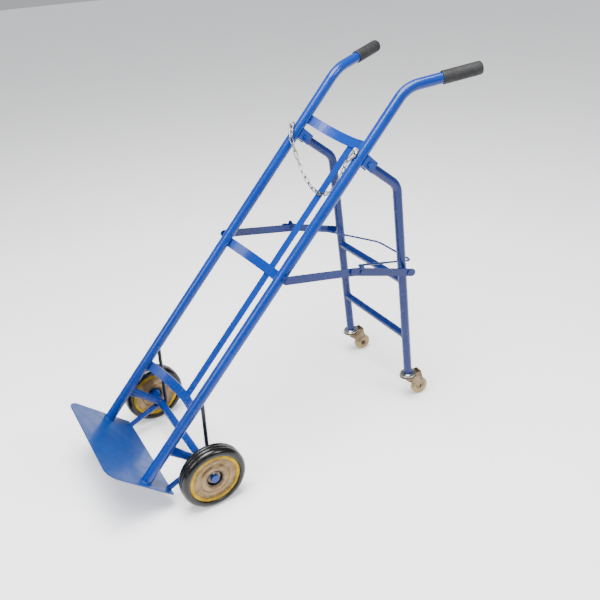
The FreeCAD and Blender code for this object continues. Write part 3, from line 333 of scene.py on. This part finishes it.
def bead(path, radius, closed=False, ripple=0.12, pitch=0.0028):
    """A run of weld or wire along points, rippled as it was laid."""
    drawn = bpy.data.curves.new("run", "CURVE")
    drawn.dimensions = "3D"
    drawn.bevel_depth = radius
    drawn.bevel_resolution = 3
    drawn.use_fill_caps = True
    line = drawn.splines.new("POLY")
    line.points.add(len(path) - 1)
    travelled = 0.0
    for index, spot in enumerate(path):
        if index:
            travelled += (Vector(spot) - Vector(path[index - 1])).length
        line.points[index].co = (*spot, 1)
        line.points[index].radius = 1 + ripple * math.sin(math.tau * travelled / pitch)
    line.use_cyclic_u = closed
    holder = bpy.data.objects.new("run", drawn)
    mesh = bpy.data.meshes.new_from_object(holder)
    shape = bmesh.new()
    shape.from_mesh(mesh)
    bpy.data.objects.remove(holder)
    bpy.data.curves.remove(drawn)
    bpy.data.meshes.remove(mesh)
    bmesh.ops.remove_doubles(shape, verts=shape.verts, dist=1e-6)
    bmesh.ops.recalc_face_normals(shape, faces=shape.faces)
    return shape


def straight_bead(start, end, radius):
    """A straight weld between two points."""
    run = end - start
    count = max(8, int(run.length / 0.0007))
    return bead([start + run * (index / count) for index in range(count + 1)], radius)


def coped_bead(centre, along, across, bar_radius, tube_radius, radius, squash=1.0):
    """The weld round a bar that meets a tube: along is the bar's way in, across the tube's side."""
    upright = along.cross(across).normalized()
    count = 96
    path = []
    for index in range(count):
        turn = math.tau * index / count
        side = bar_radius * squash * math.cos(turn)
        rise = bar_radius * math.sin(turn)
        depth = math.sqrt(max(tube_radius ** 2 - side ** 2, 0))
        path.append(centre - along * depth + across * side + upright * rise)
    return bead(path, radius, closed=True)


def ring_bead(centre, normal, side, ring_radius, radius):
    """A round weld on a flat face."""
    other = normal.cross(side).normalized()
    count = 96
    path = [centre + side * (ring_radius * math.cos(math.tau * index / count))
            + other * (ring_radius * math.sin(math.tau * index / count)) for index in range(count)]
    return bead(path, radius, closed=True)


# ---- The user's sizes and colours ------------------------------------------------------

class TruckColours(bpy.types.PropertyGroup):
    frame_paint: FloatVectorProperty(name="Frame paint", description="Enamel on the stiles and bars",
                                     subtype="COLOR", size=3, min=0, max=1, default=(0.0002, 0.027, 0.21))
    # Leg paint is the frame's blue made darker: painted shade for the upright legs turned away from the top light.
    leg_paint_with_painted_shade: FloatVectorProperty(name="Leg paint", description="Enamel on the folding leg frame and stays",
                                   subtype="COLOR", size=3, min=0, max=1, default=(0.0002, 0.012, 0.105))
    plate_paint: FloatVectorProperty(name="Toe plate paint", description="Enamel on the toe plate",
                                     subtype="COLOR", size=3, min=0, max=1, default=(0.0012, 0.036, 0.19))
    # Rod paint is partly the rods' own dark blue enamel and partly painted shade, which takes it down to near
    # black.
    rod_paint_with_painted_shade: FloatVectorProperty(name="Rod paint", description="Enamel on the thin brace rods",
                                   subtype="COLOR", size=3, min=0, max=1, default=(0.0008, 0.003, 0.018))


class TruckSizes(bpy.types.PropertyGroup):
    weld: FloatProperty(name="Weld", description="Radius of the weld beads", subtype="DISTANCE",
                        unit="LENGTH", min=0.0005, max=0.005, default=0.0021)
    round_steps: IntProperty(name="Round steps", description="Facets round a wheel",
                             min=24, max=256, default=128)
    grip_rings: IntProperty(name="Grip rings", description="Shallow rings round each grip",
                            min=0, max=60, default=26)


# ---- Operators -------------------------------------------------------------------------

class TRUCK_OT_finishes(bpy.types.Operator):
    """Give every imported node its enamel, plating or rubber"""
    bl_idname = "truck.finishes"
    bl_label = "Finishes"

    SKINS = (
        # The wheel discs take the pressed-disc plating, whose brown tint is partly a painted reflection.
        ("_tyre", "tyre rubber"), ("_rim", "gold rim"), ("_wheel_discs", "pressed disc"),
        ("_hub", "dull hub"), ("_grip", "grip rubber"), ("castor_wheel", "nylon"),
        ("castor_", "castor zinc"), ("chain_", "bright zinc"),
        # The brace rods take the near-black rod enamel, partly painted shade.
        ("split_pins", "bright zinc"), ("axle_washers", "dull hub"), ("brace_rod", "shaded rod blue"),
        # The leg frame, stays, rivets and bail take the leg enamel, a darker copy of the frame blue as painted
        # shade.
        ("toe_plate", "plate blue"), ("leg_bracket", "frame blue"), ("leg", "shaded leg blue"), ("stay", "shaded leg blue"),
        ("rivet", "shaded leg blue"), ("bail", "shaded leg blue"),
    )

    def execute(self, context):
        for name, thing in frame["nodes"].items():
            skin = next((skin for key, skin in self.SKINS if key in name), "frame blue")
            thing.data.materials.clear()
            thing.data.materials.append(finish(skin))
        return {"FINISHED"}


class TRUCK_OT_grips(bpy.types.Operator):
    """Make the two moulded grips, with shallow rings and a domed end"""
    bl_idname = "truck.grips"
    bl_label = "Grips"

    LENGTH = 0.117
    WALL = 0.0032
    RING = 0.00035

    def execute(self, context):
        sizes = context.scene.truck_sizes
        inner = STILE_RADIUS
        outer = STILE_RADIUS + self.WALL
        start = HANDLE_RUN + self.WALL - self.LENGTH
        stop = HANDLE_RUN + self.WALL
        outline = [(HANDLE_RUN, 0), (HANDLE_RUN, inner), (start, inner), (start, outer - 0.0011),
                   (start + 0.0012, outer), (start + 0.006, outer)]
        first, last = start + 0.008, stop - 0.012
        pitch = (last - first) / max(sizes.grip_rings, 1)
        for index in range(sizes.grip_rings):
            along = first + pitch * index
            outline += [(along, outer), (along + pitch * 0.18, outer - self.RING),
                        (along + pitch * 0.42, outer - self.RING), (along + pitch * 0.6, outer)]
        dome = 0.0085
        outline += [(stop - dome * (1 - math.sin(turn)), outer - dome * (1 - math.cos(turn)))
                    for turn in (math.radians(angle) for angle in range(0, 91, 10))]
        outline += [(stop, 0.004), (stop, 0)]
        for side, way in SIDES:
            out = STILE_BACK * math.cos(SPLAY) + ACROSS * (way * math.sin(SPLAY))
            run = STILE_UP * math.cos(BEND_ANGLE) + out * math.sin(BEND_ANGLE)
            across = run.cross(STILE_UP).normalized()
            place = axes(run, across, run.cross(across), on_stile(way * STILE_X, 0, BEND_ALONG))
            shape = lathe(outline, 72, place, closed=False)
            piece(f"{side}_grip_moulding", shape, "frame", "grip rubber", [f"{side}_grip"])
        return {"FINISHED"}


class TRUCK_OT_tyres(bpy.types.Operator):
    """Make the two solid tyres, grooved round the tread"""
    bl_idname = "truck.tyres"
    bl_label = "Tyres"

    OUTER = 0.100
    INNER = 0.079
    HALF = 0.025
    SHOULDER = 0.015
    GROOVE = 0.0016

    def outline(self):
        """Half of the tread, from its middle to the bead, then mirrored."""
        groove = self.OUTER - self.GROOVE
        half = [(0.0, self.OUTER), (0.0046, self.OUTER), (0.0052, groove), (0.0068, groove),
                (0.0074, self.OUTER)]
        centre = (self.HALF - self.SHOULDER, self.OUTER - self.SHOULDER)
        half += [(centre[0] + self.SHOULDER * math.sin(turn), centre[1] + self.SHOULDER * math.cos(turn))
                 for turn in (math.radians(angle) for angle in range(0, 91, 9))]
        half += [(self.HALF, 0.0832), (self.HALF - 0.0008, 0.0826), (self.HALF - 0.0008, 0.0812),
                 (self.HALF - 0.0016, 0.0800), (self.HALF - 0.004, self.INNER)]
        return [(-along, radius) for along, radius in reversed(half)] + half[1:]

    def execute(self, context):
        sizes = context.scene.truck_sizes
        for side, way in SIDES:
            place = Matrix.Translation(joint_point(f"{side}_wheel_spin"))
            shape = lathe(self.outline(), sizes.round_steps, place)
            piece(f"{side}_tyre_moulding", shape, f"{side}_wheel", "tyre rubber",
                  [f"{side}_tyre"])
        return {"FINISHED"}


class TRUCK_OT_discs(bpy.types.Operator):
    """Make the wheels' rims and pressed discs, with rolled edges and soft presswork"""
    bl_idname = "truck.discs"
    bl_label = "Rims and discs"

    SHEET = 0.0016

    RIM = [(-0.0196, 0.0662), (-0.0206, 0.0668), (-0.0214, 0.0712), (-0.0214, 0.0776), (-0.0204, 0.0789),
           (0.0204, 0.0789), (0.0214, 0.0776), (0.0214, 0.0712), (0.0206, 0.0668), (0.0196, 0.0662),
           (0.0192, 0.0672), (0.0180, 0.0764), (-0.0180, 0.0764), (-0.0192, 0.0672)]
    DISC = [(0.0198, 0.0661), (0.0194, 0.0650), (0.0182, 0.0628), (0.0166, 0.0602), (0.0156, 0.0572),
            (0.0155, 0.0530), (0.0156, 0.0498), (0.0164, 0.0474), (0.0186, 0.0450), (0.0206, 0.0430),
            (0.0214, 0.0408), (0.0216, 0.0370), (0.0215, 0.0332), (0.0208, 0.0304), (0.0194, 0.0286),
            (0.0170, 0.0277)]

    def execute(self, context):
        sizes = context.scene.truck_sizes
        for side, way in SIDES:
            place = Matrix.Translation(joint_point(f"{side}_wheel_spin"))
            rim = lathe(self.RIM, sizes.round_steps, place)
            piece(f"{side}_rim_rolled", rim, f"{side}_wheel", "gold rim", [f"{side}_rim"])
            faces = []
            for face in (1, -1):
                front = [(face * along, radius) for along, radius in self.DISC]
                back = [(face * (along - self.SHEET), radius) for along, radius in reversed(self.DISC)]
                faces.append(lathe(front + back, sizes.round_steps, place))
            piece(f"{side}_discs_pressed", join(*faces), f"{side}_wheel", "pressed disc",
                  [f"{side}_wheel_discs"])
        return {"FINISHED"}


class TRUCK_OT_castor_heads(bpy.types.Operator):
    """Make the castors' double ball races, each a rolled lower cup under a smaller cap"""
    bl_idname = "truck.castor_heads"
    bl_label = "Castor heads"

    RACE = [(0.0000, 0.0062), (0.0000, 0.0150), (-0.0008, 0.0166), (-0.0022, 0.0178), (-0.0026, 0.0196),
            (-0.0018, 0.0212), (-0.0016, 0.0236), (-0.0024, 0.0258), (-0.0044, 0.0268), (-0.0066, 0.0269),
            (-0.0078, 0.0262), (-0.0084, 0.0246), (-0.0088, 0.0200), (-0.0088, 0.0062)]

    def execute(self, context):
        sizes = context.scene.truck_sizes
        heads = []
        for side, way in SIDES:
            place = axes(LEG_UP, ACROSS, LEG_BACK, joint_point(f"{side}_castor_turn"))
            heads.append(lathe(self.RACE, sizes.round_steps // 2, place))
        piece("castor_races", join(*heads), "leg_frame", "bright zinc", ["castor_heads"])
        return {"FINISHED"}


class TRUCK_OT_hooks(bpy.types.Operator):
    """Make the snap hooks that join the chain to the stiles"""
    bl_idname = "truck.hooks"
    bl_label = "Snap hooks"

    TOP = 0.0072
    LOW = 0.0048
    STEPS_ROUND = 16
    STEP = 0.002

    def execute(self, context):
        hooks = []
        reach = HOOK_LENGTH - 2 * HOOK_WIRE
        for side, way in SIDES:
            heading = Vector((-0.026 * way, 0.008, -0.036)).normalized()
            pull = Vector((0, heading.y, heading.z)).normalized()
            facing = Vector((0, pull.z, -pull.y))
            wide = facing.cross(heading).normalized()
            eye = Vector((way * STILE_X, -(STILE_RADIUS + EYE_RADIUS + EYE_WIRE / 2), CHAIN_ALONG))
            top = eye + pull * EYE_RADIUS - heading * (HOOK_WIRE + EYE_WIRE + 0.00015)
            rim = []
            for index in range(self.STEPS_ROUND + 1):
                turn = math.pi * index / self.STEPS_ROUND
                rim.append((self.TOP * (1 - math.sin(turn)), self.TOP * math.cos(turn)))
            for index in range(self.STEPS_ROUND + 1):
                turn = math.pi * index / self.STEPS_ROUND
                rim.append((reach - self.LOW * (1 - math.sin(turn)), -self.LOW * math.cos(turn)))
            path = []
            for along, out in rim:
                spot = top + heading * along + wide * out
                path.append(on_stile(*spot))
            smooth = []
            for spot, following in zip(path, path[1:] + path[:1]):
                steps = max(1, int((following - spot).length / self.STEP))
                smooth += [spot.lerp(following, step / steps) for step in range(steps)]
            hooks.append(bead(smooth, HOOK_WIRE, closed=True, ripple=0))
            barrel_from = top + heading * (reach * 0.32) + wide * (self.TOP * 0.9)
            barrel_to = top + heading * (reach * 0.66) + wide * (self.LOW * 1.2)
            hooks.append(straight_bead(on_stile(*barrel_from), on_stile(*barrel_to), HOOK_WIRE * 1.35))
        piece("chain_snap_hooks", join(*hooks), "frame", "bright zinc", ["chain_hooks"])
        return {"FINISHED"}


class TRUCK_OT_frame_welds(bpy.types.Operator):
    """Lay the weld beads of the fixed frame"""
    bl_idname = "truck.frame_welds"
    bl_label = "Frame welds"

    def execute(self, context):
        weld = context.scene.truck_sizes.weld
        runs = []
        for side, way in SIDES:
            for along in BAR_ALONG:
                for behind, reach in ((0.0085, 0.0146), (0.0030, 0.0163)):
                    low = on_stile(way * (STILE_X - reach), behind, along + 0.001)
                    high = on_stile(way * (STILE_X - reach), behind, along + BAR_HEIGHT - 0.001)
                    runs.append(straight_bead(low, high, weld * 0.8))
            foot = on_stile(way * STILE_X, 0, 0.0006)
            runs.append(ring_bead(foot, STILE_UP, ACROSS, STILE_RADIUS + 0.0006, weld))
            centre = on_stile(way * STILE_X, 0, AXLE_ALONG)
            runs.append(coped_bead(centre, -STILE_BACK, ACROSS, 0.0165, STILE_RADIUS, weld, squash=0.5))
            centre = on_stile(way * STILE_X, AXLE_BEHIND, AXLE_ALONG)
            runs.append(coped_bead(centre, STILE_BACK, STILE_UP, AXLE_RADIUS, AXLE_RADIUS, weld))
        piece("frame_weld_beads", join(*runs), "frame", "weld blue")
        return {"FINISHED"}


class TRUCK_OT_leg_welds(bpy.types.Operator):
    """Lay the weld beads of the folding leg frame"""
    bl_idname = "truck.leg_welds"
    bl_label = "Leg welds"

    def execute(self, context):
        weld = context.scene.truck_sizes.weld
        runs = []
        for side, way in SIDES:
            out = ACROSS * way
            for up in CROSSBAR_UP:
                centre = on_leg(way * STILE_X, 0, up)
                runs.append(coped_bead(centre, out, LEG_BACK, CROSSBAR_RADIUS, LEG_RADIUS, weld * 0.8))
        # The leg welds take the leg enamel, darkened as painted shade.
        piece("leg_weld_beads", join(*runs), "leg_frame", "shaded leg blue")
        return {"FINISHED"}


class TRUCK_OT_stage(bpy.types.Operator):
    """Set up the pale floor, the soft lights and the camera"""
    bl_idname = "truck.stage"
    bl_label = "Stage"

    AZIMUTH = math.radians(61.28)
    ELEVATION = math.radians(29.54)
    ROLL = math.radians(-4.05)
    PLACE = Vector((1.7434, -0.8295, 1.5412))
    LENS = 42.49
    FLOOR_RADIUS = 14
    SKY = (0.92, 0.95, 1.0, 1)
    SKY_STRENGTH = 0.50
    AIM = Vector((0, 0, 0.45))
    LAMPS = (("top light", (0.3, -0.3, 3.4), 2.0, 300),
             ("side light", (2.8, 1.6, 2.6), 1.2, 70),
             ("front light", (0.6, -3.0, 2.6), 1.4, 60))

    def execute(self, context):
        scene = context.scene
        shape = bmesh.new()
        bmesh.ops.create_circle(shape, cap_ends=True, segments=96, radius=self.FLOOR_RADIUS)
        mesh = bpy.data.meshes.new("floor")
        shape.to_mesh(mesh)
        shape.free()
        mesh.materials.append(finish("studio paper"))
        floor = bpy.data.objects.new("floor", mesh)
        scene.collection.objects.link(floor)

        back = Vector((math.sin(self.AZIMUTH) * math.cos(self.ELEVATION),
                       -math.cos(self.AZIMUTH) * math.cos(self.ELEVATION), math.sin(self.ELEVATION)))
        level = Vector((0, 0, 1)).cross(back).normalized()
        upright = back.cross(level)
        right = level * math.cos(self.ROLL) + upright * math.sin(self.ROLL)
        up = upright * math.cos(self.ROLL) - level * math.sin(self.ROLL)
        lens = bpy.data.cameras.new("camera")
        lens.lens = self.LENS
        lens.sensor_width = 36
        lens.clip_end = 60
        camera = bpy.data.objects.new("camera", lens)
        camera.matrix_world = axes(right, up, back, self.PLACE)
        scene.collection.objects.link(camera)
        scene.camera = camera

        world = bpy.data.worlds.new("studio")
        world.use_nodes = True
        world.node_tree.nodes["Background"].inputs["Color"].default_value = self.SKY
        world.node_tree.nodes["Background"].inputs["Strength"].default_value = self.SKY_STRENGTH
        scene.world = world
        for name, spot, size, power in self.LAMPS:
            lamp = bpy.data.lights.new(name, "AREA")
            lamp.size = size
            lamp.energy = power
            holder = bpy.data.objects.new(name, lamp)
            aim = (self.AIM - Vector(spot)).to_track_quat("-Z", "Y")
            holder.matrix_world = Matrix.Translation(spot) @ aim.to_matrix().to_4x4()
            scene.collection.objects.link(holder)
        return {"FINISHED"}


class TRUCK_PT_panel(bpy.types.Panel):
    """The truck's pieces, sizes and colours"""
    bl_idname = "TRUCK_PT_panel"
    bl_label = "Hand Truck"
    bl_space_type = "VIEW_3D"
    bl_region_type = "UI"
    bl_category = "Hand Truck"

    def draw(self, context):
        for group in (context.scene.truck_sizes, context.scene.truck_colours):
            box = self.layout.box()
            for name in group.__annotations__:
                box.prop(group, name)
        for step in STEPS:
            self.layout.operator(step.bl_idname)


STEPS = (TRUCK_OT_finishes, TRUCK_OT_grips, TRUCK_OT_tyres, TRUCK_OT_discs, TRUCK_OT_castor_heads,
         TRUCK_OT_hooks, TRUCK_OT_frame_welds, TRUCK_OT_leg_welds, TRUCK_OT_stage)
CLASSES = (TruckColours, TruckSizes) + STEPS + (TRUCK_PT_panel,)


def register():
    for kind in CLASSES:
        bpy.utils.register_class(kind)
    bpy.types.Scene.truck_sizes = PointerProperty(type=TruckSizes)
    bpy.types.Scene.truck_colours = PointerProperty(type=TruckColours)


def unregister():
    del bpy.types.Scene.truck_sizes
    del bpy.types.Scene.truck_colours
    for kind in reversed(CLASSES):
        bpy.utils.unregister_class(kind)


def main():
    register()
    for step in STEPS:
        category, name = step.bl_idname.split(".")
        getattr(getattr(bpy.ops, category), name)()
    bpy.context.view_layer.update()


if __name__ == "__main__":
    main()
